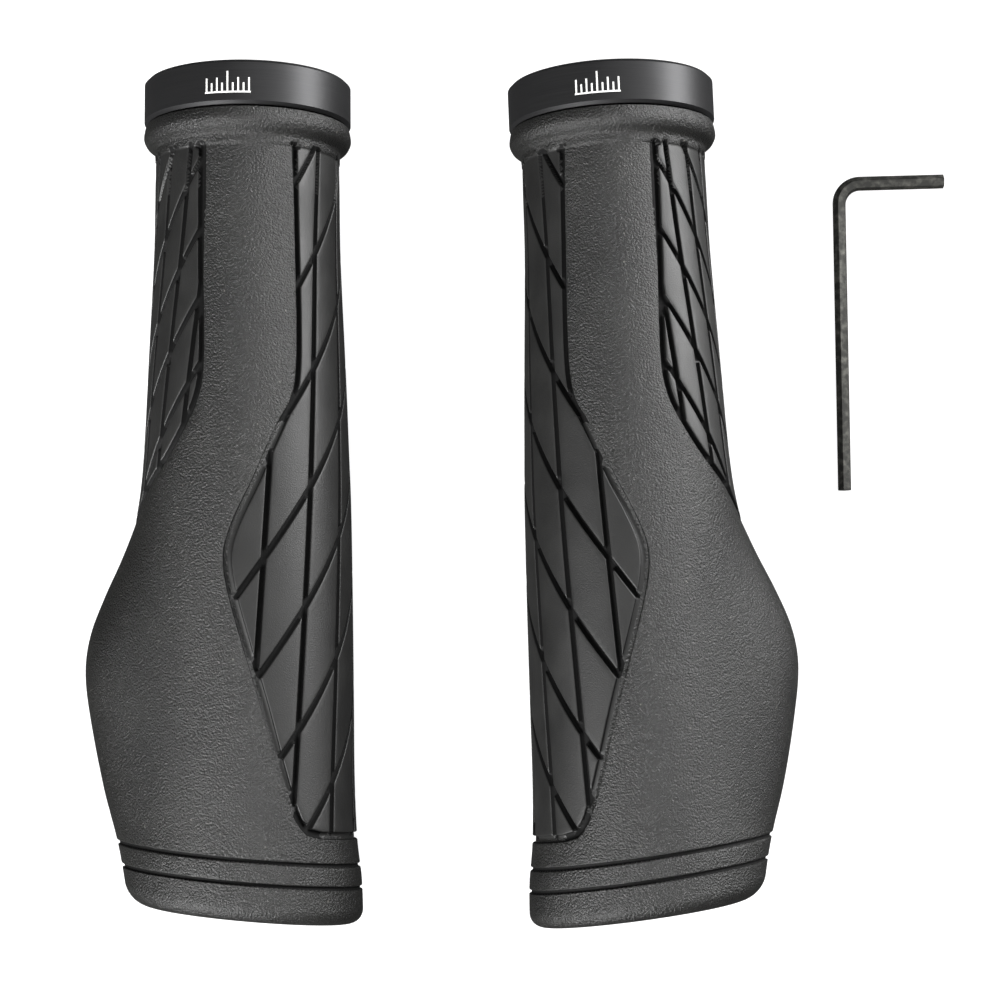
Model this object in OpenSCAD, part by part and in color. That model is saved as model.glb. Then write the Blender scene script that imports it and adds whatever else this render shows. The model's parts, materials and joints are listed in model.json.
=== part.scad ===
// A pair of lock-on comfort grips for a bicycle handlebar, with the hex key that fits their clamp bolts.
// Both grips lie on a flat surface at Z = 0, clamp ends towards +Y, palm wings turned outwards.
// Grip frame: origin on the bar axis at the clamp ring's inboard face, -Y towards the bar's end,
// +X towards the wing, +Z up. The left-hand grip is built as drawn and the right-hand one is its mirror.

/* [Handlebar] */
// Bore of the clamp ring, for a 22.2 mm handlebar
ring_bore_d = 22.3; // [22.25:0.05:22.4]
// Bore of the core sleeve
core_bore_d = 22.4; // [22.35:0.05:22.5]

/* [Clamp ring] */
// Outer diameter of the clamp ring
ring_d = 32.5; // [32.3:0.1:32.6]
// Width of the clamp ring along the bar
ring_w = 6.9; // [6.6:0.1:7]
// Chamfer on the ring's outer edges
ring_chamfer = 0.5; // [0.2:0.1:0.8]
// Width of the split that the bolt closes
split_w = 1.2; // [0.8:0.1:1.6]
// Where the split is, round the bar from the wing
split_angle = 240; // [230:1:250]

/* [Clamp bolt] */
// Thread diameter of the cap screw
bolt_d = 2.5; // [2.4:0.1:2.6]
// Length under the head
bolt_l = 10; // [8:1:12]
// Distance of the bolt's axis from the bar's axis
bolt_offset = 13.2; // [13.1:0.1:13.3]
// Distance of the head's seat from the middle of the split
bolt_seat = 3.2; // [3.1:0.1:3.4]

/* [Core sleeve] */
// Outer diameter of the core sleeve
core_d = 25.2; // [25:0.1:25.4]
// Number of locking tabs
tab_count = 3; // [2:1:3]
// How far each tab reaches into the ring
tab_l = 3; // [2:0.5:4]

/* [Rubber grip] */
// Radius of the flange beside the clamp ring
flange_r = 16.3; // [16.2:0.1:16.5]
// Greatest half height of the grip, which sets how high the bar axis lies
grip_half_h = 16.4; // [16.3:0.1:16.6]
// Distance from the ring's inboard face to the grip's far end, on the bar axis
grip_l = 129.7; // [129.5:0.1:131]
// Slant of the far end, so that the wing side is shorter
end_slant = 5.8; // [0:0.1:7]
// How far the wing points below level
wing_droop = 22; // [10:1:24]
// Angular half width of the wing above it
wing_spread_top = 36; // [30:1:40]
// Angular half width of the wing below it
wing_spread_under = 29; // [22:1:30]

/* [End plug] */
// Outer diameter of the plug's cap
plug_cap_d = 24.6; // [24:0.1:25]
// Diameter of the plug's fins, inside a 22.2 mm bar
plug_fin_d = 18.4; // [17:0.1:18.6]

/* [Hex key] */
// Width across flats
key_af = 2; // [1.9:0.1:2.1]
// Length of the long arm over the bend
key_long = 51.7; // [50:0.1:53]
// Length of the short arm over the bend
key_short = 18.3; // [16:0.1:19]
// Bend radius at the middle of the key
key_bend_r = 3.5; // [3:0.1:4]
// Angle between the two arms
key_arm_angle = 91.2; // [90:0.1:92]
// How far the hexagon is rolled from lying on a flat
key_roll = 15; // [0:1:30]

/* [Layout] */
// Right-hand grip's axis, from the middle of the set
right_x = -43.8; // [-46:0.1:-42]
// Left-hand grip's axis at half length, from the middle of the set
left_x = 15.7; // [14:0.1:18]
// How far the left-hand grip is turned, clamp end inwards
left_yaw = 1.8; // [0:0.1:4]
// Clamp end of the right-hand grip
right_y = 66.1; // [64:0.1:68]
// Clamp end of the left-hand grip
left_y = 65.8; // [64:0.1:68]
// Hex key's long arm
key_x = 51.9; // [50:0.1:54]
// Hex key's short arm
key_y = 53.2; // [50:0.1:56]
// How far the hex key is turned
key_yaw = -0.1; // [-3:0.1:3]

/* [Hidden] */

ROUND = 96;            // segments of a drawn circle
GAP = 0.3;             // free space between the ring and the rubber
CUT = 1;               // how far a cutting tool runs past a face
LOBE_TAIL = 0.01;      // the wing's bulge ends where it falls below this share of its height
core_start = ring_w + GAP;
core_end = 124.8;      // far end of the core sleeve, where the plug's cap seats
bar_stop = 108;        // end of the full-size bore, before the wider relief
relief_r = core_bore_d / 2 + 0.2;
tab_angle = 24;        // width of a locking tab
tab_phase = 60;        // first tab, so that none meets the split
tab_r1 = core_bore_d / 2 + 0.25;
tab_r2 = core_d / 2 - 0.2;
tab_play = 0.15;       // free space round a tab in its notch
bolt_head_r = 2.25;
bolt_head_h = 2;
bolt_socket_depth = 1.2;
pocket_r = bolt_head_r + 0.15;
bolt_hole_r = bolt_d / 2 + 0.1;
bolt_thread_r = bolt_d / 2 + 0.03;
bolt_play = 0.04;      // free space under the head, so that the bolt turns freely
plug_cap_h = 2.4;
plug_shank_r = 7.6;
plug_shank_l = 14;
plug_fins = 4;

// Half width of the round part along the grip, as [distance from the clamp face, half width]
half_width = [[7.2, 16.0], [8.0, 16.2], [9.0, flange_r], [9.7, 16.05], [10.2, 15.7], [10.7, 15.0],
              [11.2, 14.6], [13.4, 14.55], [17, 14.6], [26, 14.65], [34, 14.9], [42, 15.25], [50, 15.6],
              [58, 15.9], [66, 16.2], [81, 16.45], [97, 16.6], [108, 16.7], [117, 17.1], [123, 17.8],
              [129.7, 18]];
// Reach of the wing from the bar axis, given the same way
wing_reach = [[20, 14.4], [34, 14.8], [48, 15.4], [56, 15.9], [62, 16.4], [66, 17.1], [70, 18.3],
              [75, 20.8], [80.6, 23.8], [87, 26.5], [93, 27.5], [100, 26.8], [113, 23.8], [123, 20.1],
              [129.7, 18.1]];
// Rings of the body between the flange and the far end's rounding
body_rings = [7.2, 7.6, 8.2, 9.0, 9.5, 9.9, 10.3, 10.7, 11.1, 11.6, 13.4, 17, 25, 33, 41, 49, 57,
              62, 66, 69, 72, 75, 78, 81, 84, 87, 90, 93, 97, 102, 107, 112, 116.5, 120.5, 124];
ring_points = 48;
end_steps = 5;         // rings of the far end's rounding
slant_from = 70;       // where the sections start to lean
slant_full = 118;      // where they are parallel to the far end

function blend(a, b, t) = let(u = min(1, max(0, (t - a) / (b - a)))) u * u * (3 - 2 * u);

// Smooth curve through a table of [distance, value] pairs
function slope(table, i) =
    let(last = len(table) - 1, a = table[max(0, i - 1)], b = table[min(last, i + 1)])
    (b[1] - a[1]) / (b[0] - a[0]);
function span_of(table, t, i = 0) =
    i >= len(table) - 2 || t < table[i + 1][0] ? i : span_of(table, t, i + 1);
function curve(table, t) =
    t <= table[0][0] ? table[0][1] :
    t >= table[len(table) - 1][0] ? table[len(table) - 1][1] :
    let(i = span_of(table, t), p = table[i], q = table[i + 1], h = q[0] - p[0], u = (t - p[0]) / h)
    (2 * u * u * u - 3 * u * u + 1) * p[1] + (u * u * u - 2 * u * u + u) * h * slope(table, i)
    + (3 * u * u - 2 * u * u * u) * q[1] + (u * u * u - u * u) * h * slope(table, i + 1);

// Radius of the rubber at a distance along the grip and an angle round it
function grip_radius(t, angle) =
    let(a = curve(half_width, t), b = min(a, grip_half_h),
        off = angle + wing_droop > 180 ? angle + wing_droop - 360 : angle + wing_droop,
        spread = off > 0 ? wing_spread_top : wing_spread_under,
        lobe = max(0, curve(wing_reach, t) - a) * max(0, exp(-pow(off / spread, 2)) - LOBE_TAIL))
    1 / sqrt(pow(cos(angle) / a, 2) + pow(sin(angle) / b, 2)) + lobe;

// Rounding radius of the far end: larger at the wing's corner
function end_round(angle) = 2.4 + 0.8 * exp(-pow((angle > 180 ? angle - 360 : angle) / 45, 2));

// A point of the outer surface, with its section leaning as the far end does
function lean(t, x) = t - x * tan(end_slant) * blend(slant_from, slant_full, t);
function skin_point(t, angle, inset = 0) =
    let(r = grip_radius(t, angle) - inset, x = r * cos(angle))
    [x, -lean(t, x), r * sin(angle)];
function round_point(step, angle) =
    let(f = end_round(angle), turn = 90 * step / end_steps)
    skin_point(grip_l - f * (1 - sin(turn)), angle, f * (1 - cos(turn)));

module grip_solid() {
    angles = [for (k = [0 : ring_points - 1]) 360 * k / ring_points];
    body = [for (t = body_rings) [for (a = angles) skin_point(t, a)]];
    end = [for (s = [0 : end_steps]) [for (a = angles) round_point(s, a)]];
    rings = concat(body, end);
    count = len(rings);
    n = ring_points;
    points = concat([for (r = rings) each r], [[0, -body_rings[0], 0], [0, -grip_l, 0]]);
    faces = concat(
        [for (i = [0 : count - 2], k = [0 : n - 1]) [i * n + k, i * n + (k + 1) % n, (i + 1) * n + k]],
        [for (i = [0 : count - 2], k = [0 : n - 1])
            [i * n + (k + 1) % n, (i + 1) * n + (k + 1) % n, (i + 1) * n + k]],
        [for (k = [0 : n - 1]) [count * n, (k + 1) % n, k]],
        [for (k = [0 : n - 1]) [count * n + 1, (count - 1) * n + k, (count - 1) * n + (k + 1) % n]]);
    polyhedron(points, faces, convexity = 4);
}

// A cylinder on the bar axis between two distances from the clamp face
module along_bar(from, to, r) {
    translate([0, -from, 0]) rotate([90, 0, 0]) cylinder(h = to - from, r = r, $fn = ROUND);
}

module rubber_grip() {
    color([0.07, 0.07, 0.075])
    difference() {
        grip_solid();
        along_bar(core_start - CUT, grip_l + 2 * CUT, core_d / 2);
    }
}

// Wedge of a tube on the bar axis, used for the tabs and, a little larger, for their notches
module tube_wedge(r1, r2, width, from, to) {
    translate([0, -from, 0]) rotate([90, 0, 0]) rotate([0, 0, -width / 2])
    rotate_extrude(angle = width, $fn = ROUND) translate([r1, 0]) square([r2 - r1, to - from]);
}

module each_tab() {
    for (k = [0 : tab_count - 1]) rotate([0, -(tab_phase + k * 360 / 3), 0]) children();
}

module core_sleeve() {
    color([0.13, 0.13, 0.14])
    difference() {
        union() {
            along_bar(core_start, core_end, core_d / 2);
            each_tab() tube_wedge(tab_r1, tab_r2, tab_angle, core_start - tab_l, core_start + CUT);
        }
        along_bar(core_start - CUT, bar_stop, core_bore_d / 2);
        along_bar(bar_stop, core_end + CUT, relief_r);
    }
}

// Turns a child drawn with the bolt along +X, above the bar, to the split's place round the ring
module at_split() {
    translate([0, -ring_w / 2, 0]) rotate([0, 90 - split_angle, 0]) children();
}

module bolt_axis_cylinder(from, to, r, sides = ROUND) {
    translate([from, 0, bolt_offset]) rotate([0, 90, 0]) cylinder(h = to - from, r = r, $fn = sides);
}

module ring_blank() {
    r = ring_d / 2;
    c = ring_chamfer;
    rotate([90, 0, 0]) rotate_extrude($fn = ROUND)
    polygon([[ring_bore_d / 2, 0], [r - c, 0], [r, c], [r, ring_w - c], [r - c, ring_w],
             [ring_bore_d / 2, ring_w]]);
}

module clamp_ring() {
    color([0.05, 0.05, 0.055])
    difference() {
        ring_blank();
        each_tab() tube_wedge(ring_bore_d / 2 - CUT, tab_r2 + tab_play, tab_angle + 2,
                              core_start - tab_l - tab_play, ring_w + CUT);
        at_split() {
            translate([-split_w / 2, -ring_w, 10]) cube([split_w, 2 * ring_w, 8]);
            bolt_axis_cylinder(0, bolt_seat + CUT, bolt_hole_r);
            bolt_axis_cylinder(bolt_seat, ring_d, pocket_r);
            bolt_axis_cylinder(-ring_d, 0, bolt_thread_r);
        }
    }
}

module clamp_bolt() {
    color([0.09, 0.09, 0.09])
    at_split() difference() {
        union() {
            bolt_axis_cylinder(bolt_seat - bolt_l, bolt_seat + CUT, bolt_d / 2);
            bolt_axis_cylinder(bolt_seat + bolt_play, bolt_seat + bolt_head_h, bolt_head_r);
        }
        bolt_axis_cylinder(bolt_seat + bolt_head_h - bolt_socket_depth, bolt_seat + bolt_head_h + CUT,
                           key_af / sqrt(3) + 0.02, 6);
    }
}

module end_plug() {
    r = plug_cap_d / 2;
    fin_pitch = plug_shank_l / (plug_fins + 0.5);
    shank_end = core_end - plug_shank_l;
    fins = [for (k = [0 : plug_fins - 1], p = [[plug_shank_r, 0.6], [plug_fin_d / 2, 0.9],
            [plug_fin_d / 2, 1.5], [plug_shank_r, 2.1]]) [p[0], shank_end + k * fin_pitch + p[1]]];
    color([0.06, 0.06, 0.06])
    rotate([90, 0, 0]) rotate_extrude($fn = ROUND)
    polygon(concat([[0, shank_end], [plug_shank_r - 1, shank_end]], fins,
                   [[plug_shank_r, core_end], [r, core_end], [r, core_end + plug_cap_h - 0.8],
                    [r - 0.8, core_end + plug_cap_h], [0, core_end + plug_cap_h]]));
}

// The key's hexagon, with X away from the bend's centre and Y up
module key_section() {
    rotate(key_roll) circle(r = key_af / sqrt(3), $fn = 6);
}

module hex_key() {
    corner_r = key_af / sqrt(3);
    half_h = max([for (k = [0 : 5]) corner_r * sin(key_roll + 60 * k)]);
    over = key_bend_r + key_af / 2;
    turn = 180 - key_arm_angle;
    color([0.1, 0.1, 0.09])
    translate([key_x, key_y, half_h]) rotate([0, 0, key_yaw]) translate([key_bend_r, -key_bend_r, 0]) {
        rotate([0, 0, 180 - turn]) rotate_extrude(angle = turn, $fn = ROUND)
            translate([key_bend_r, 0]) key_section();
        translate([-key_bend_r, 0, 0]) rotate([90, 0, 0])
            linear_extrude(key_long - over) mirror([1, 0]) key_section();
        rotate([0, 0, 90 - turn]) translate([0, key_bend_r, 0]) rotate([0, 0, 90]) rotate([90, 0, 0])
            linear_extrude(key_short - over) key_section();
    }
}

module on_right() {
    translate([right_x, right_y, grip_half_h]) mirror([1, 0, 0]) children();
}

module on_left() {
    translate([left_x, 0, grip_half_h]) rotate([0, 0, left_yaw]) translate([0, left_y, 0]) children();
}

on_right() core_sleeve();  // right_core_sleeve
on_right() rubber_grip();  // right_rubber_grip
on_right() clamp_ring();  // right_clamp_ring
on_right() clamp_bolt();  // right_clamp_bolt
on_right() end_plug();  // right_end_plug
on_left() core_sleeve();  // left_core_sleeve
on_left() rubber_grip();  // left_rubber_grip
on_left() clamp_ring();  // left_clamp_ring
on_left() clamp_bolt();  // left_clamp_bolt
on_left() end_plug();  // left_end_plug
hex_key();
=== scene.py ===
"""Looks for the pair of handlebar grips and their hex key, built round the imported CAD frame.

Each grip has a frame of its own: t runs from the clamp ring's inboard face towards the bar's end, and an
angle runs round the bar from the top, positive on the side away from the palm wing. The rubber skin is one
closed mesh, drawn flat over (angle, t) with every groove's edges in it and then wrapped round the grip.
"""
import json
import math
from itertools import product

import bmesh
import bpy
import numpy as np
from mathutils import Matrix, Vector
from mathutils.geometry import delaunay_2d_cdt


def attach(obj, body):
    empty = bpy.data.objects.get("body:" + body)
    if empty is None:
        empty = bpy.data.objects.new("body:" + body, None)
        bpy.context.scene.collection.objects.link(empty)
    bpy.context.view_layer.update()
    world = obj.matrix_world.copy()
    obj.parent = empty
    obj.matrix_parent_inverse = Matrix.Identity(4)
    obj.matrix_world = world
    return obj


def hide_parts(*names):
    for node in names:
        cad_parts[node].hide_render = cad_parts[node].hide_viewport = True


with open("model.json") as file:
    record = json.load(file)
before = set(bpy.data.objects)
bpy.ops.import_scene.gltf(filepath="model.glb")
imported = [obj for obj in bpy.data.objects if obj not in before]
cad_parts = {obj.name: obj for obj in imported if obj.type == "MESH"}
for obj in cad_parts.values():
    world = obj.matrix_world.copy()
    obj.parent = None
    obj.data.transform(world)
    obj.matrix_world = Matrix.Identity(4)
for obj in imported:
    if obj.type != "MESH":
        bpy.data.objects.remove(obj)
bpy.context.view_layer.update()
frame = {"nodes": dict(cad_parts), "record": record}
MM = 0.001

# ---- Grip form, in millimetres and degrees, as in the CAD design -------------------------------------
HALF_WIDTH = np.array([(7.2, 16.0), (8.0, 16.2), (9.0, 16.3), (9.7, 16.05), (10.2, 15.7), (10.7, 15.0),
                       (11.2, 14.6), (13.4, 14.55), (17, 14.6), (26, 14.65), (34, 14.9), (42, 15.25),
                       (50, 15.6), (58, 15.9), (66, 16.2), (81, 16.45), (97, 16.6), (108, 16.7),
                       (117, 17.1), (123, 17.8), (129.7, 18)])
WING_REACH = np.array([(20, 14.4), (34, 14.8), (48, 15.4), (56, 15.9), (62, 16.4), (66, 17.1),
                       (70, 18.3), (75, 20.8), (80.6, 23.8), (87, 26.5), (93, 27.5), (100, 26.8),
                       (113, 23.8), (123, 20.1), (129.7, 18.1)])
GRIP_HALF_H = 16.4
GRIP_L = 129.7
GRIP_START = 7.2
CORE_R = 12.6
RING_R = 16.25
END_SLANT = math.tan(math.radians(5.8))
SLANT_FROM, SLANT_FULL = 70, 118
WING_DROOP = 22
SPREAD_TOP, SPREAD_UNDER = 36, 29
LOBE_TAIL = 0.01
END_ROUND, WING_CORNER_ROUND, CORNER_SPREAD = 2.4, 0.8, 45


def smooth_step(a, b, x):
    u = np.clip((x - a) / (b - a), 0, 1)
    return u * u * (3 - 2 * u)


def curve(table, t):
    """Smooth curve through a table of (distance, value) pairs."""
    last = len(table) - 1
    t = np.clip(t, table[0, 0], table[last, 0])
    i = np.clip(np.searchsorted(table[:, 0], t, side="right") - 1, 0, last - 1)

    def slope(k):
        a, b = table[np.maximum(0, k - 1)], table[np.minimum(last, k + 1)]
        return (b[..., 1] - a[..., 1]) / (b[..., 0] - a[..., 0])

    p, q = table[i], table[i + 1]
    h = q[..., 0] - p[..., 0]
    u = (t - p[..., 0]) / h
    return ((2 * u**3 - 3 * u**2 + 1) * p[..., 1] + (u**3 - 2 * u**2 + u) * h * slope(i)
            + (3 * u**2 - 2 * u**3) * q[..., 1] + (u**3 - u**2) * h * slope(i + 1))


def grip_radius(t, angle):
    """Radius of the rubber. The angle is from the top, positive away from the wing."""
    a = curve(HALF_WIDTH, t)
    b = np.minimum(a, GRIP_HALF_H)
    off = (angle + 90 + WING_DROOP + 180) % 360 - 180
    spread = np.where(off > 0, SPREAD_TOP, SPREAD_UNDER)
    share = np.maximum(0, np.exp(-((off / spread) ** 2)) - LOBE_TAIL)
    lobe = np.maximum(0, curve(WING_REACH, t) - a) * share
    rad = np.radians(angle)
    return 1 / np.sqrt((np.sin(rad) / a) ** 2 + (np.cos(rad) / b) ** 2) + lobe


def end_round(angle):
    """Rounding radius of the far end, larger at the wing's corner."""
    off = (angle + 90 + 180) % 360 - 180
    return END_ROUND + WING_CORNER_ROUND * np.exp(-((off / CORNER_SPREAD) ** 2))


def on_grip(t, angle, inset):
    """Points of the rubber in the grip's own frame: wing along +X, clamp end along +Y, up +Z."""
    r = grip_radius(t, angle) - inset
    rad = np.radians(angle)
    x, z = -r * np.sin(rad), r * np.cos(rad)
    y = -(t - x * END_SLANT * smooth_step(SLANT_FROM, SLANT_FULL, t))
    return np.stack([x, y, z], -1)


# ---- Tread layout, in (angle, t) ---------------------------------------------------------------------
PLANE_R = 16.0                     # the skin is laid flat at this radius
DEG = PLANE_R * math.pi / 180      # millimetres per degree in the flat
TOP_T = 12.45                      # where the flange's fillet meets the tread
STRIP = 172                        # the treads stop short of the parting line below, at 180
FINGER_END_T = 116.2
FINGER_EDGE = [(36, TOP_T), (37, 24), (37.2, 38), (36, 47), (32.5, 51.8), (26, 55.2), (18, 59.8),
               (10.5, 64.6), (4.2, 68.2), (-1, 71.6), (-3.9, 74.4), (-4.3, 77), (-2.4, 80.5),
               (1.6, 84.8), (7, 90), (14.8, 97.2), (22.5, 104.8), (28.5, 110.2), (34, 114),
               (40, 115.8), (48, FINGER_END_T)]
PALM_EDGE = [(-23.5, TOP_T), (-23.8, 20), (-23.2, 30), (-21.6, 39), (-21, 45.5), (-22.4, 50),
             (-27.5, 53.8), (-38.5, 58.4), (-49, 61.5), (-66, 65), (-82, 68), (-102, 71), (-126, 73),
             (-150, 73.8), (-STRIP, 74)]
GROOVE = 0.45                      # half width of a tread groove
CHANNEL = 0.66                     # half width of the channel beside the palm
TREAD_DEPTH = 0.8
CHANNEL_DEPTH = 0.5


def spline(points, step):
    """Points along a smooth curve through the given ones, about step apart, in (angle, t)."""
    p = np.array(points, float)
    p = np.vstack([2 * p[0] - p[1], p, 2 * p[-1] - p[-2]])
    out = []
    for a, b, c, d in zip(p, p[1:], p[2:], p[3:]):
        n = max(1, int(math.hypot((c[0] - b[0]) * DEG, c[1] - b[1]) / step))
        for k in range(n):
            u = k / n
            out.append(0.5 * (2 * b + (c - a) * u + (2 * a - 5 * b + 4 * c - d) * u * u
                              + (3 * b - a - 3 * c + d) * u**3))
    out.append(p[-2])
    return np.array(out)


def inside(poly, pts):
    """Whether each point lies in a closed polygon."""
    x, y = pts[:, 0], pts[:, 1]
    hit = np.zeros(len(pts), bool)
    for (x0, y0), (x1, y1) in zip(poly, np.roll(poly, -1, axis=0)):
        if y0 != y1:
            cross = (y0 > y) != (y1 > y)
            hit ^= cross & (x < (x1 - x0) * (y - y0) / (y1 - y0) + x0)
    return hit


def flat(points):
    """(angle, t) to millimetres in the flat."""
    p = np.array(points, float)
    return np.stack([p[:, 0] * DEG, p[:, 1]], -1)


def clip_line(p, q, poly):
    """The stretches of the straight line p to q that lie in the polygon, as pairs of end points."""
    n = 400
    u = np.linspace(0, 1, n + 1)[:, None]
    pts = np.array(p) * (1 - u) + np.array(q) * u
    keep = inside(poly, pts)
    runs, start = [], None
    for i, k in enumerate(np.append(keep, False)):
        if k and start is None:
            start = i
        if not k and start is not None:
            if i - start > 4:
                runs.append((pts[start], pts[i - 1]))
            start = None
    return runs


def crossing_lines(long_lines, diagonals):
    """Straight lines of a tread, in (angle, t), from two families.

    Long lines: (first angle, pitch in degrees, drift in degrees per mm, end t, indexes).
    Diagonals: (first t, pitch in mm, degrees per mm, (angle, run) at each end, indexes).
    """
    first, pitch, drift, end_t, which = long_lines
    along = [((first + drift * TOP_T + pitch * k, TOP_T), (first + drift * end_t + pitch * k, end_t))
             for k in which]
    start, gap, steep, (from_angle, from_run), (to_angle, to_run), which = diagonals
    across = [((from_angle, start + gap * j + from_run / steep),
               (to_angle, start + gap * j + to_run / steep)) for j in which]
    return along + across


FINGER_LONG = (57.7, 25, -0.235, 117, range(-1, 6))
FINGER_DIAGONALS = (8.8, 16.4, 2.5, (175, -115), (-8, 68), range(0, 10))
PALM_LONG = (-25.6, -17.3, -0.42, 76, range(-1, 8))
PALM_DIAGONALS = (10.3, 10.8, 2.6, (-20, -20), (-175, 135), range(-5, 6))


def tread_layout():
    """Every groove as segments [x0, y0, x1, y1, half width 0, half width 1, depth], and the two treads."""
    step = 1.2
    finger = spline(FINGER_EDGE, step)
    palm = spline(PALM_EDGE, step)
    finger_poly = flat(np.vstack([finger, [(STRIP, FINGER_END_T), (STRIP, TOP_T)]]))
    palm_poly = flat(np.vstack([palm, [(-STRIP, TOP_T)]]))
    segments = []

    def chain(points, widths, depths):
        p = flat(points)
        for i in range(len(p) - 1):
            segments.append([*p[i], *p[i + 1], widths[i], widths[i + 1], depths[i]])

    wide = smooth_step(50, 57, finger[:, 1]) * (1 - smooth_step(110, 116, finger[:, 1]) * 0.35)
    chain(finger, GROOVE + (CHANNEL - GROOVE) * wide, TREAD_DEPTH + (CHANNEL_DEPTH - TREAD_DEPTH) * wide)
    foot = np.array([(angle, FINGER_END_T) for angle in (48, 90, 130, STRIP)])
    chain(foot, [GROOVE + 0.1] * 4, [CHANNEL_DEPTH] * 4)
    chain(palm, [GROOVE + 0.04] * len(palm), [TREAD_DEPTH] * len(palm))
    chain([(STRIP, TOP_T), (STRIP, FINGER_END_T)], [GROOVE] * 2, [TREAD_DEPTH] * 2)
    chain([(-STRIP, TOP_T), (-STRIP, 74)], [GROOVE] * 2, [TREAD_DEPTH] * 2)
    for poly, lines in ((finger_poly, crossing_lines(FINGER_LONG, FINGER_DIAGONALS)),
                        (palm_poly, crossing_lines(PALM_LONG, PALM_DIAGONALS))):
        for p, q in lines:
            for a, b in clip_line(*flat([p, q]), poly):
                segments.append([*a, *b, GROOVE, GROOVE, TREAD_DEPTH])
    return np.array(segments), finger_poly, palm_poly, flat(finger), flat(palm)


RING_GROOVES = [(120.65, 0.32, 0.38), (124.05, 0.32, 0.38)]   # t, half width, depth of the end grooves
SHOULDER = [(0.20, 0.0), (0.08, 0.025), (0.0, 0.11)]        # (distance outside a groove's edge, inset)
PALM_SLOT, TREAD_SLOT, GROOVE_SLOT = 0, 1, 2
WALL_RUN = 0.10                                             # how far the wall leans in
LEVELS = [s[0] for s in SHOULDER] + [-WALL_RUN]             # lines of points beside each groove
PALM_DIP, PALM_DIP_REACH = 0.28, 2.4                        # the palm sinks a little beside the treads
NECK_STEP = 0.12                                            # step down from the flange to the neck


def edge_distance(pts, segments):
    """Distance of each point outside the nearest groove edge, negative inside, and that groove's depth."""
    best = np.full(len(pts), 1e9)
    depth = np.zeros(len(pts))
    for x0, y0, x1, y1, w0, w1, d in segments:
        dx, dy = x1 - x0, y1 - y0
        u = np.clip(((pts[:, 0] - x0) * dx + (pts[:, 1] - y0) * dy) / (dx * dx + dy * dy), 0, 1)
        dist = np.hypot(pts[:, 0] - x0 - u * dx, pts[:, 1] - y0 - u * dy) - (w0 + (w1 - w0) * u)
        near = dist < best
        best[near] = dist[near]
        depth[near] = d
    return best, depth


def groove_inset(dist, depth):
    """How deep the skin lies at a distance outside a groove's edge."""
    x = [-WALL_RUN] + [s[0] for s in SHOULDER[::-1]]
    out = np.zeros_like(dist)
    for d in np.unique(depth):
        m = depth == d
        out[m] = np.interp(dist[m], x, [d] + [s[1] for s in SHOULDER[::-1]])
    return out


def ring_inset(t):
    out = np.zeros_like(t)
    for t0, half, depth in RING_GROOVES:
        dist = np.abs(t - t0) - half
        out = np.maximum(out, groove_inset(dist, np.full_like(t, depth)))
    return out


def polyline_distance(pts, line):
    best = np.full(len(pts), 1e9)
    for (x0, y0), (x1, y1) in zip(line, line[1:]):
        dx, dy = x1 - x0, y1 - y0
        u = np.clip(((pts[:, 0] - x0) * dx + (pts[:, 1] - y0) * dy) / max(dx * dx + dy * dy, 1e-12), 0, 1)
        best = np.minimum(best, np.hypot(pts[:, 0] - x0 - u * dx, pts[:, 1] - y0 - u * dy))
    return best


def skin_inset(pts, layout):
    """Inset of the rubber at points of the flat: tread, end grooves and the palm's soft edge."""
    segments, finger_poly, palm_poly, finger, palm = layout
    dist, depth = edge_distance(pts, segments)
    out = groove_inset(dist, depth)
    out[pts[:, 1] < TOP_T - 0.02] = 0
    out = np.maximum(out, ring_inset(pts[:, 1]))
    tread = inside(finger_poly, pts) | inside(palm_poly, pts)
    palm_side = ~tread & (pts[:, 1] > TOP_T)
    fade = np.minimum(polyline_distance(pts, palm), polyline_distance(pts, finger) + 0.5)
    dip = PALM_DIP * np.clip(1 - fade / PALM_DIP_REACH, 0, 1) ** 2
    neck = NECK_STEP * smooth_step(TOP_T, TOP_T + 0.12, pts[:, 1]) * (1 - smooth_step(15, 40, pts[:, 1]))
    return np.maximum(out, np.where(palm_side, dip, 0)) + neck


def groove_axes(seg):
    """Direction, normal and length of each segment."""
    direction = seg[:, 2:4] - seg[:, 0:2]
    length = np.hypot(direction[:, 0], direction[:, 1])
    direction = direction / length[:, None]
    return direction, np.stack([-direction[:, 1], direction[:, 0]], -1), length


def groove_runs(seg, pitch=0.5):
    """Runs of points along each groove's shoulder, wall foot and middle, each with its level."""
    direction, normal, length = groove_axes(seg)
    runs = []
    for i in range(len(seg)):
        n = max(1, int(length[i] / pitch))
        u = np.arange(n + 1) / n
        base = seg[i, 0:2] + direction[i] * (u * length[i])[:, None]
        width = seg[i, 4] + (seg[i, 5] - seg[i, 4]) * u
        for level in LEVELS:
            for side in (-1, 1):
                runs.append((base + normal[i] * (side * (width + level))[:, None], level))
        runs.append((base, None))
    return runs


def groove_corners(seg, slack=1.5):
    """Where the offset lines of two grooves cross, as rows of x, y and level."""
    direction, normal, length = groove_axes(seg)
    corners = []
    for i in range(len(seg)):
        for j in range(i + 1, len(seg)):
            cross = direction[i, 0] * direction[j, 1] - direction[i, 1] * direction[j, 0]
            if abs(cross) < 0.08:
                continue
            for level, a, b in product(LEVELS, (-1, 1), (-1, 1)):
                p = seg[i, 0:2] + normal[i] * a * (seg[i, 4] + level)
                q = seg[j, 0:2] + normal[j] * b * (seg[j, 4] + level)
                d = q - p
                u = (d[0] * direction[j, 1] - d[1] * direction[j, 0]) / cross
                v = (d[0] * direction[i, 1] - d[1] * direction[i, 0]) / cross
                if -slack <= u <= length[i] + slack and -slack <= v <= length[j] + slack:
                    corners.append((*(p + direction[i] * u), level))
    return np.array(corners)


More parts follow.
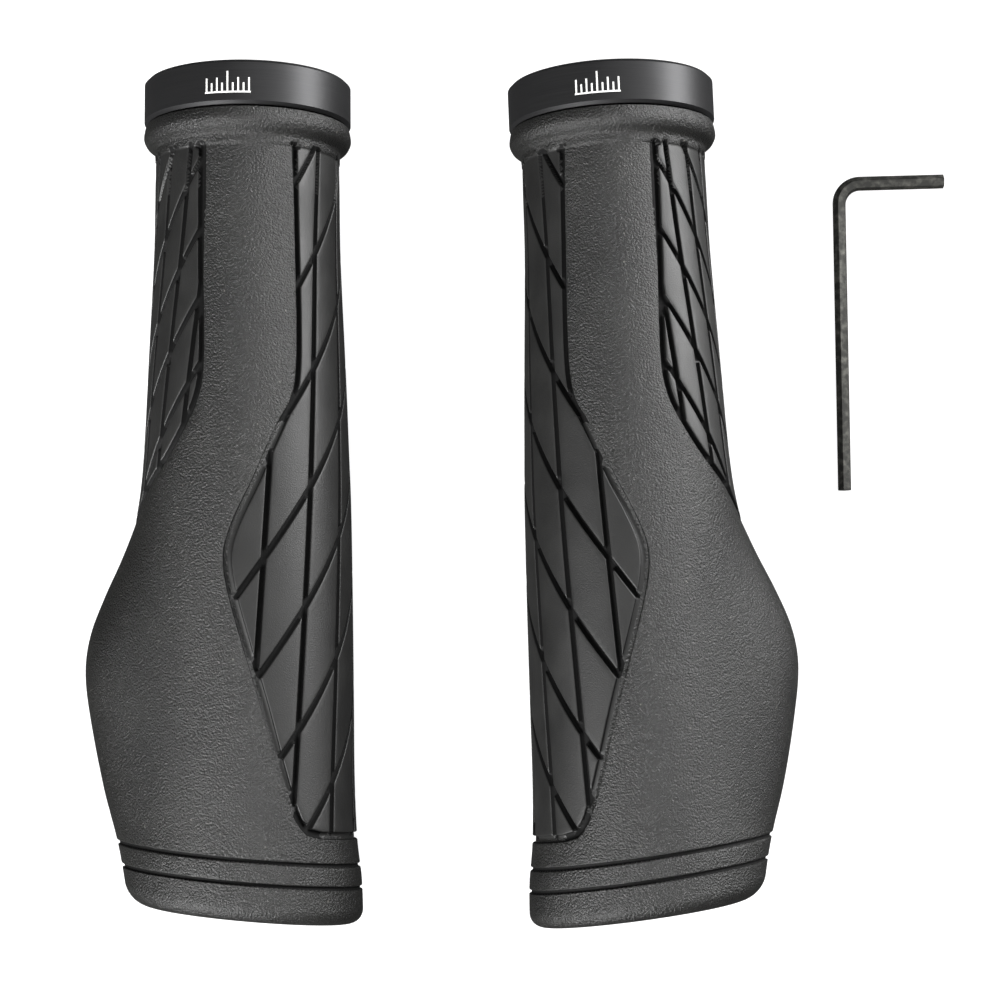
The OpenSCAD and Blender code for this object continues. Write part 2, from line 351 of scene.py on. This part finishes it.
class PointSet:
    """Points of the flat with no two closer than a given gap."""

    def __init__(self, gap):
        self.gap, self.cell, self.points = gap, {}, []

    def add(self, x, y):
        """The index of the point, or of the one already there within the gap."""
        cx, cy = math.floor(x / self.gap), math.floor(y / self.gap)
        for i in (cx - 1, cx, cx + 1):
            for j in (cy - 1, cy, cy + 1):
                for k in self.cell.get((i, j), ()):
                    px, py = self.points[k]
                    if (px - x) ** 2 + (py - y) ** 2 < self.gap**2:
                        return k
        self.points.append((x, y))
        self.cell.setdefault((cx, cy), []).append(len(self.points) - 1)
        return len(self.points) - 1


END_ROW = 124.4             # the last row of the skin before the rounded end
ANGLE_STEP = 2.5
POINT_GAP = 0.045
TREAD_FAR_T = 117.0         # no groove point lies past this
HALF_ROUND = 180 * DEG
END_STEPS = 10


def row_values():
    """Distances of the rows that run right round: close together where the form turns tightly."""
    rows = [7.2, 7.3, 7.5, 7.8, 8.2, 8.6, 9.0, 9.3, 9.5, 9.7, 9.9, 10.1, 10.3, 10.5, 10.7, 10.9, 11.1,
            11.4, 11.9, TOP_T, TOP_T + 0.06, TOP_T + 0.12, 12.9, 13.3, 13.8]
    for t0, half, _ in RING_GROOVES:
        for level in LEVELS:
            rows += [t0 - half - level, t0 + half + level]
    return sorted(rows + [117.2, 118.2, 119.0, 121.1, 121.7, 122.3, END_ROW])


def add_rows(points, edges, angles):
    """Rows of points right round, joined by edges."""
    for t in row_values():
        last = None
        for a in angles:
            k = points.add(a * DEG, t)
            if last is not None and last != k:
                edges.add((last, k))
            last = k


def add_grooves(points, edges, segments):
    """Every groove's corners and runs, except where another groove takes them away."""
    def kept(pts, level):
        ok = (pts[:, 1] >= TOP_T) & (pts[:, 1] <= TREAD_FAR_T) & (np.abs(pts[:, 0]) < HALF_ROUND - 0.6)
        dist, _ = edge_distance(pts, segments)
        return ok & (np.abs(dist - level) < 0.012 if level is not None else dist < -WALL_RUN - 0.1)

    corners = groove_corners(segments)
    for level in sorted(set(corners[:, 2])):
        pts = corners[corners[:, 2] == level][:, :2]
        for x, y in pts[kept(pts, level)]:
            points.add(x, y)
    for pts, level in groove_runs(segments):
        last = None
        for (x, y), ok in zip(pts, kept(pts, level)):
            now = points.add(x, y) if ok else None
            if last is not None and now is not None and last != now:
                edges.add((last, now))
            last = now


def add_grid(points, segments, angles):
    """An even grid over the rest of the skin, away from the grooves."""
    gx, gt = np.meshgrid(angles * DEG, np.arange(14.6, TREAD_FAR_T, 1.0))
    grid = np.stack([gx.ravel(), gt.ravel()], -1)
    dist, _ = edge_distance(grid, segments)
    for (x, y), d in zip(grid, dist):
        if d > GROOVE or abs(x) > HALF_ROUND - 0.01:
            points.add(x, y)


def flat_mesh(layout):
    """Triangles over the whole skin in the flat: (points, faces)."""
    angles = np.arange(-180, 180 + ANGLE_STEP / 2, ANGLE_STEP)
    points, edges = PointSet(POINT_GAP), set()
    add_rows(points, edges, angles)
    add_grooves(points, edges, layout[0])
    add_grid(points, layout[0], angles)
    verts, _, faces, *_ = delaunay_2d_cdt([Vector(p) for p in points.points], sorted(edges), [], 0, 1e-6)
    return np.array([(v.x, v.y) for v in verts]), [tuple(f) for f in faces]


def skin_slots(layout, flat_pts, faces, inset):
    """Material index of each face of the skin: groove, tread or palm."""
    corners = np.array(faces)
    mids = flat_pts[corners].mean(1)
    tread = inside(layout[1], mids) | inside(layout[2], mids)
    sunk = inset[corners].mean(1)
    shallow_floor = np.abs(sunk - CHANNEL_DEPTH) < 0.05
    # faces sunk deeper than 0.2 mm (bar the shallow channel floor) get the groove material, which carries
    # painted shade
    return list(np.where((sunk > 0.2) & ~shallow_floor, GROOVE_SLOT,
                         np.where(tread, TREAD_SLOT, PALM_SLOT)))


def end_rows(angles):
    """Rows from the skin's edge over the rounded end, in to the opening and back through the bore."""
    full, rounding = np.full(len(angles), END_ROW), end_round(angles)
    rows = [on_grip(full, angles, 0)]
    for u in (0.4, 0.8):
        rows.append(on_grip(full + (GRIP_L - rounding - full) * u, angles, 0))
    for k in range(END_STEPS + 1):
        turn = math.pi / 2 * k / END_STEPS
        t = GRIP_L - rounding * (1 - math.sin(turn))
        rows.append(on_grip(t, angles, rounding * (1 - math.cos(turn))))
    rad = np.radians(angles)
    opening = np.stack([-np.sin(rad), np.zeros(len(angles)), np.cos(rad)], -1) * CORE_R
    front, bore_end = opening.copy(), opening.copy()
    opening[:, 1] = -(GRIP_L - opening[:, 0] * END_SLANT)
    front[:, 1] = -GRIP_START
    bore_end[:, 1] = opening[:, 1] + 1.0
    last = rows[-1]
    for u, sink in ((0.5, 0.0), (0.93, 0.0), (1.0, 0.25)):
        row = last * (1 - u) + opening * u
        row[:, 1] += sink
        rows.append(row)
    return rows + [bore_end, front, on_grip(np.full(len(angles), GRIP_START), angles, 0)]


def build_skin(layout):
    """The rubber as (points in the grip's frame, faces, material index of each face)."""
    flat_pts, faces = flat_mesh(layout)
    inset = skin_inset(flat_pts, layout)
    slots = skin_slots(layout, flat_pts, faces, inset)
    skin_pts = on_grip(flat_pts[:, 1], flat_pts[:, 0] / DEG, inset)
    rows = end_rows(np.arange(-180, 180, ANGLE_STEP))
    n = len(rows[0])
    for r in range(len(rows) - 1):
        a = len(skin_pts) + r * n
        b = a + n
        for k in range(n):
            m = (k + 1) % n
            faces.append((a + k, a + m, b + m, b + k))
            slots.append(PALM_SLOT)
    return np.vstack([skin_pts, *rows]), faces, slots


# ---- Placing and materials ---------------------------------------------------------------------------
def grip_matrix(side):
    """The grip's frame in the row frame, from its bore mount. The right-hand grip is the mirror image."""
    mount = next(m for m in frame["record"]["mounts"] if m["name"] == side + "_bar_bore")
    along = Vector(mount["axis"]).normalized()
    up = Vector((0, 0, 1))
    wing = along.cross(up) * (1 if side == "left" else -1)
    origin = Vector(mount["pos_m"]) + along * (mount["dims"]["length_mm"] / 2 * MM)
    m = Matrix((wing, along, up)).transposed().to_4x4()
    return Matrix.Translation(origin) @ m @ Matrix.Scale(MM, 4)


class Nodes:
    """A short way to write a node material."""

    def __init__(self, name, color, roughness, **inputs):
        self.material = bpy.data.materials.new(name)
        self.material.use_nodes = True
        self.tree = self.material.node_tree
        self.shader = self.tree.nodes["Principled BSDF"]
        self.shader.inputs["Base Color"].default_value = (*color, 1)
        self.shader.inputs["Roughness"].default_value = roughness
        for key, value in inputs.items():
            self.shader.inputs[key.replace("_", " ")].default_value = value

    def node(self, kind, **inputs):
        made = self.tree.nodes.new(kind)
        for key, value in inputs.items():
            socket = made.inputs[key.replace("_", " ")]
            if isinstance(value, bpy.types.NodeSocket):
                self.link(value, socket)
            else:
                socket.default_value = value
        return made

    def link(self, a, b):
        self.tree.links.new(a, b)

    def place(self, scale=(1, 1, 1)):
        coords = self.tree.nodes.new("ShaderNodeTexCoord")
        mapping = self.node("ShaderNodeMapping", Vector=coords.outputs["Object"])
        mapping.inputs["Scale"].default_value = scale
        return mapping.outputs["Vector"]

    def noise(self, vector, scale, detail=2.0, roughness=0.5):
        return self.node("ShaderNodeTexNoise", Vector=vector, Scale=scale, Detail=detail,
                         Roughness=roughness).outputs["Fac"]

    def remap(self, value, a, b, c, d):
        made = self.node("ShaderNodeMapRange", Value=value)
        for key, x in (("From Min", a), ("From Max", b), ("To Min", c), ("To Max", d)):
            made.inputs[key].default_value = x
        return made.outputs["Result"]

    def mix(self, factor, a, b):
        made = self.tree.nodes.new("ShaderNodeMix")
        made.data_type = "RGBA"
        self.link(factor, made.inputs["Factor"])
        for socket, value in ((made.inputs[6], a), (made.inputs[7], b)):
            if isinstance(value, bpy.types.NodeSocket):
                self.link(value, socket)
            else:
                socket.default_value = (*value, 1)
        return made.outputs[2]

    def math(self, operation, a, b):
        made = self.tree.nodes.new("ShaderNodeMath")
        made.operation = operation
        for socket, value in ((made.inputs[0], a), (made.inputs[1], b)):
            if isinstance(value, bpy.types.NodeSocket):
                self.link(value, socket)
            else:
                socket.default_value = value
        return made.outputs[0]

    def bump(self, height, strength, distance):
        made = self.node("ShaderNodeBump", Height=height, Strength=strength, Distance=distance)
        return made.outputs["Normal"]

    def finish(self, color=None, roughness=None, normal=None):
        for key, value in (("Base Color", color), ("Roughness", roughness), ("Normal", normal)):
            if value is not None:
                self.link(value, self.shader.inputs[key])
        return self.material


def rubber_palm():
    """Moulded rubber with a fine pebbled grain and a little pale dust in it."""
    m = Nodes("rubber_palm", (0.03, 0.03, 0.029), 0.56)
    at = m.place()
    grain = m.noise(at, 3900, 3.0, 0.6)
    cells = m.node("ShaderNodeTexVoronoi", Vector=at, Scale=2900.0).outputs["Distance"]
    relief = m.math("SUBTRACT", grain, m.math("MULTIPLY", cells, 0.5))
    cloud = m.noise(at, 90, 3.0)
    tone = m.mix(m.remap(cloud, 0.3, 0.7, 0, 1), (0.007, 0.007, 0.0067), (0.011, 0.011, 0.0102))
    dust = m.node("ShaderNodeTexVoronoi", Vector=at, Scale=330.0).outputs["Distance"]
    tone = m.mix(m.remap(dust, 0.02, 0.07, 0.5, 0), tone, (0.2, 0.19, 0.17))
    rough = m.remap(grain, 0.3, 0.7, 0.32, 0.44)
    return m.finish(tone, rough, m.bump(relief, 0.9, 0.00021))


def rubber_tread():
    """The same rubber, moulded smoother."""
    m = Nodes("rubber_tread", (0.034, 0.034, 0.032), 0.52)
    at = m.place()
    grain = m.noise(at, 5200, 2.0, 0.5)
    cloud = m.noise(at, 160, 3.0)
    tone = m.mix(m.remap(cloud, 0.3, 0.7, 0, 1), (0.0075, 0.0075, 0.0073), (0.0105, 0.0105, 0.01))
    rough = m.remap(cloud, 0.3, 0.7, 0.47, 0.55)
    return m.finish(tone, rough, m.bump(grain, 0.5, 0.00008))


def groove_painted_shade():
    """The rubber deep in the grooves, with painted shade: a darker base colour and weaker specular than
    the palm and tread rubber, and a rougher surface.
    """
    # painted shade: base colour darker than the palm and tread rubber, for the shade in the narrow grooves
    m = Nodes("groove_painted_shade", (0.004, 0.004, 0.004), 0.7)
    # painted shade: weaker specular so the groove walls and floors read dark
    m.shader.inputs["Specular IOR Level"].default_value = 0.12
    dull = m.noise(m.place(), 3000, 2.0)
    return m.finish(None, m.remap(dull, 0.3, 0.7, 0.62, 0.8), m.bump(dull, 0.3, 0.00006))


def anodised():
    """Turned aluminium, black anodised: fine rings from the lathe, satin."""
    m = Nodes("black_anodised", (0.02, 0.02, 0.022), 0.42, Metallic=0.65)
    at = m.place((1, 260, 1))
    lines = m.noise(at, 60, 3.0, 0.7)
    fine = m.noise(m.place(), 6000, 2.0)
    tone = m.mix(m.remap(lines, 0.3, 0.7, 0, 1), (0.020, 0.020, 0.021), (0.032, 0.032, 0.033))
    rough = m.remap(m.math("ADD", lines, fine), 0.6, 1.4, 0.38, 0.48)
    return m.finish(tone, rough, m.bump(lines, 0.12, 0.00003))


def core_plastic():
    m = Nodes("core_plastic", (0.04, 0.04, 0.042), 0.42)
    at = m.place()
    fibre = m.noise(m.place((1, 0.15, 1)), 2400, 3.0)
    tone = m.mix(m.remap(fibre, 0.35, 0.7, 0, 1), (0.035, 0.035, 0.037), (0.06, 0.06, 0.062))
    return m.finish(tone, m.remap(m.noise(at, 700), 0.3, 0.7, 0.36, 0.5), m.bump(fibre, 0.12, 0.00005))


def plug_plastic():
    m = Nodes("plug_plastic", (0.028, 0.028, 0.028), 0.5)
    spark = m.noise(m.place(), 4200, 3.0, 0.6)
    return m.finish(None, m.remap(spark, 0.3, 0.7, 0.42, 0.6), m.bump(spark, 0.4, 0.00008))


def bolt_steel():
    m = Nodes("black_steel", (0.03, 0.03, 0.03), 0.34, Metallic=0.85)
    worn = m.noise(m.place(), 1800, 4.0)
    tone = m.mix(m.remap(worn, 0.55, 0.75, 0, 1), (0.028, 0.028, 0.029), (0.10, 0.10, 0.10))
    return m.finish(tone, m.remap(worn, 0.3, 0.7, 0.28, 0.45), m.bump(worn, 0.08, 0.00003))


def key_steel():
    """Black oxide, patchy, with paler streaks where it has been handled."""
    m = Nodes("key_steel", (0.03, 0.03, 0.028), 0.36, Metallic=0.7)
    at = m.place()
    patch = m.noise(at, 900, 4.0, 0.6)
    streak = m.noise(m.place((1, 0.06, 1)), 3000, 3.0)
    tone = m.mix(m.remap(patch, 0.45, 0.75, 0, 1), (0.042, 0.042, 0.039), (0.13, 0.128, 0.115))
    return m.finish(tone, m.remap(patch, 0.3, 0.7, 0.28, 0.46), m.bump(streak, 0.15, 0.00004))


def white_print():
    m = Nodes("white_print", (0.82, 0.82, 0.8), 0.45)
    wear = m.noise(m.place(), 5000, 2.0)
    return m.finish(m.mix(m.remap(wear, 0.62, 0.72, 0, 1), (0.85, 0.85, 0.83), (0.6, 0.6, 0.58)))


# the groove material carries painted shade for the deep grooves
MATERIALS = {"palm": rubber_palm(), "tread": rubber_tread(), "groove": groove_painted_shade(),
             "ring": anodised(), "core": core_plastic(), "plug": plug_plastic(),
             "bolt": bolt_steel(), "key": key_steel(), "print": white_print()}


def add_mesh(name, points, faces, materials, face_slots=None, smooth=True):
    mesh = bpy.data.meshes.new(name)
    mesh.from_pydata([tuple(p) for p in points], [], faces)
    for m in materials:
        mesh.materials.append(m)
    if face_slots is not None:
        mesh.polygons.foreach_set("material_index", np.array(face_slots, np.int32))
    if smooth:
        mesh.polygons.foreach_set("use_smooth", np.ones(len(mesh.polygons), bool))
    mesh.update()
    made = bpy.data.objects.new(name, mesh)
    bpy.context.scene.collection.objects.link(made)
    return made


def tidy_normals(obj, merge=None):
    """Merges doubled points and turns all faces outwards."""
    bm = bmesh.new()
    bm.from_mesh(obj.data)
    if merge:
        bmesh.ops.remove_doubles(bm, verts=bm.verts, dist=merge)
    bmesh.ops.recalc_face_normals(bm, faces=bm.faces)
    bm.to_mesh(obj.data)
    bm.free()


def weighted_normals(obj):
    mod = obj.modifiers.new("normals", "WEIGHTED_NORMAL")
    mod.mode = "FACE_AREA_WITH_ANGLE"
    mod.weight = 60
    mod.keep_sharp = True


def make_rubber(side, skin):
    points, faces, slots = skin
    m = np.array(grip_matrix(side))
    placed = points @ m[:3, :3].T + m[:3, 3]
    looks = [MATERIALS["palm"], MATERIALS["tread"], MATERIALS["groove"]]
    obj = add_mesh(side + "_rubber", placed, faces, looks, slots)
    tidy_normals(obj, merge=0.00001)
    weighted_normals(obj)
    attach(obj, side + "_grip")
    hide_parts(side + "_rubber_grip")


def dress_cad():
    """Materials for the CAD parts that are shown as they are."""
    dress = {"core_sleeve": "core", "clamp_ring": "ring", "clamp_bolt": "bolt", "end_plug": "plug"}
    for name, obj in frame["nodes"].items():
        part = name.split("_", 1)[1]
        obj.data.materials.clear()
        obj.data.materials.append(MATERIALS[dress.get(part, "key")])


def ring_band(angle0, angle1, t0, t1, lift):
    """A thin printed patch on the ring's outer face, as (points, faces)."""
    n = max(1, int(abs(angle1 - angle0) / 1.5))
    points = []
    for k in range(n + 1):
        a = math.radians(angle0 + (angle1 - angle0) * k / n)
        for t in (t0, t1):
            for r in (RING_R - 0.05, RING_R + lift):
                points.append((-r * math.sin(a), -t, r * math.cos(a)))
    faces = []
    for k in range(n):
        a, b = 4 * k, 4 * (k + 1)
        for i, j in ((0, 1), (1, 3), (3, 2), (2, 0)):
            faces.append((a + i, a + j, b + j, b + i))
    faces += [(0, 1, 3, 2), (4 * n, 4 * n + 2, 4 * n + 3, 4 * n + 1)]
    return points, faces


SCALE_CENTRE = {"right": -5, "left": 10}    # degrees from the top
SCALE_HALF, TICK_PITCH, TICK_HALF = 12.5, 2.9, 0.45
SCALE_BASE, BASE_WIDTH, PRINT_LIFT = 5.0, 0.25, 0.012
LONG_TICK, EVEN_TICK, ODD_TICK = 1.9, 2.9, 3.7


def make_print(side):
    """A generic alignment scale in white print: short ticks, a long middle one and a base line."""
    centre = SCALE_CENTRE[side]
    patches = [ring_band(centre - SCALE_HALF, centre + SCALE_HALF, SCALE_BASE, SCALE_BASE + BASE_WIDTH,
                         PRINT_LIFT)]
    for k in range(-4, 5):
        top = LONG_TICK if k == 0 else (EVEN_TICK if k % 2 == 0 else ODD_TICK)
        tick = centre + k * TICK_PITCH
        patches.append(ring_band(tick - TICK_HALF, tick + TICK_HALF, top, SCALE_BASE, PRINT_LIFT))
    points, faces = [], []
    for p, f in patches:
        start = len(points)
        points += p
        faces += [tuple(i + start for i in face) for face in f]
    m = np.array(grip_matrix(side))
    placed = np.array(points) @ m[:3, :3].T + m[:3, 3]
    obj = add_mesh(side + "_ring_scale", placed, faces, [MATERIALS["print"]], smooth=False)
    tidy_normals(obj)
    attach(obj, side + "_ring")


# ---- Scene -------------------------------------------------------------------------------------------
VIEW_WIDTH = 0.15625        # width of the view at the height of the bar axes
CAMERA_DISTANCE = 0.3696
CAMERA_TILT = math.radians(5.3)
CAMERA_ROLL = math.radians(-0.44)
AIM = Vector((-0.0043, -0.0001, GRIP_HALF_H * MM))


def make_camera():
    data = bpy.data.cameras.new("camera")
    data.sensor_width = 36
    data.lens = 36 * CAMERA_DISTANCE / VIEW_WIDTH
    data.clip_start, data.clip_end = 0.01, 10
    camera = bpy.data.objects.new("camera", data)
    bpy.context.scene.collection.objects.link(camera)
    ahead = Vector((0, math.sin(CAMERA_TILT), -math.cos(CAMERA_TILT)))
    up = Vector((0, math.cos(CAMERA_TILT), math.sin(CAMERA_TILT)))
    right = Vector((1, 0, 0))
    c, s = math.cos(CAMERA_ROLL), math.sin(CAMERA_ROLL)
    axes = Matrix((right * c + up * s, up * c - right * s, -ahead)).transposed().to_4x4()
    camera.matrix_world = Matrix.Translation(AIM - ahead * CAMERA_DISTANCE) @ axes
    bpy.context.scene.camera = camera


def make_floor():
    size = 3.0
    floor = add_mesh("floor", [(-size, -size, 0), (size, -size, 0), (size, size, 0), (-size, size, 0)],
                     [(0, 1, 2, 3)], [], smooth=False)
    m = Nodes("floor", (0.3, 0.3, 0.3), 0.8)
    m.shader.inputs["Emission Color"].default_value = (1, 1, 1, 1)
    m.shader.inputs["Emission Strength"].default_value = 0.93
    m.shader.inputs["Specular IOR Level"].default_value = 0.1
    floor.data.materials.append(m.material)
    floor.visible_glossy = False


def softbox(name, azimuth, elevation, distance, size, power, tint=(1, 1, 1)):
    data = bpy.data.lights.new(name, "AREA")
    data.shape = "RECTANGLE"
    data.size, data.size_y = size
    data.energy = power
    data.color = tint
    light = bpy.data.objects.new(name, data)
    a, e = math.radians(azimuth), math.radians(elevation)
    away = Vector((math.cos(a) * math.cos(e), math.sin(a) * math.cos(e), math.sin(e)))
    light.location = away * distance
    light.rotation_mode = "QUATERNION"
    light.rotation_quaternion = away.to_track_quat("Z", "Y")
    bpy.context.scene.collection.objects.link(light)


def make_lights():
    softbox("soft_right", 32, 15, 0.9, (0.8, 0.42), 20.5)
    softbox("soft_front", 229, 32, 0.9, (0.6, 0.35), 21.0)
    softbox("soft_top", 10, 70, 0.9, (0.7, 1.0), 3.0)
    world = bpy.data.worlds.new("world")
    world.use_nodes = True
    background = world.node_tree.nodes["Background"]
    background.inputs["Color"].default_value = (1, 1, 1, 1)
    background.inputs["Strength"].default_value = 0.06
    bpy.context.scene.world = world


make_camera()
make_floor()
make_lights()
bpy.context.scene.view_settings.view_transform = "Standard"
dress_cad()
skin = build_skin(tread_layout())
for grip_side in ("right", "left"):
    make_rubber(grip_side, skin)
    make_print(grip_side)
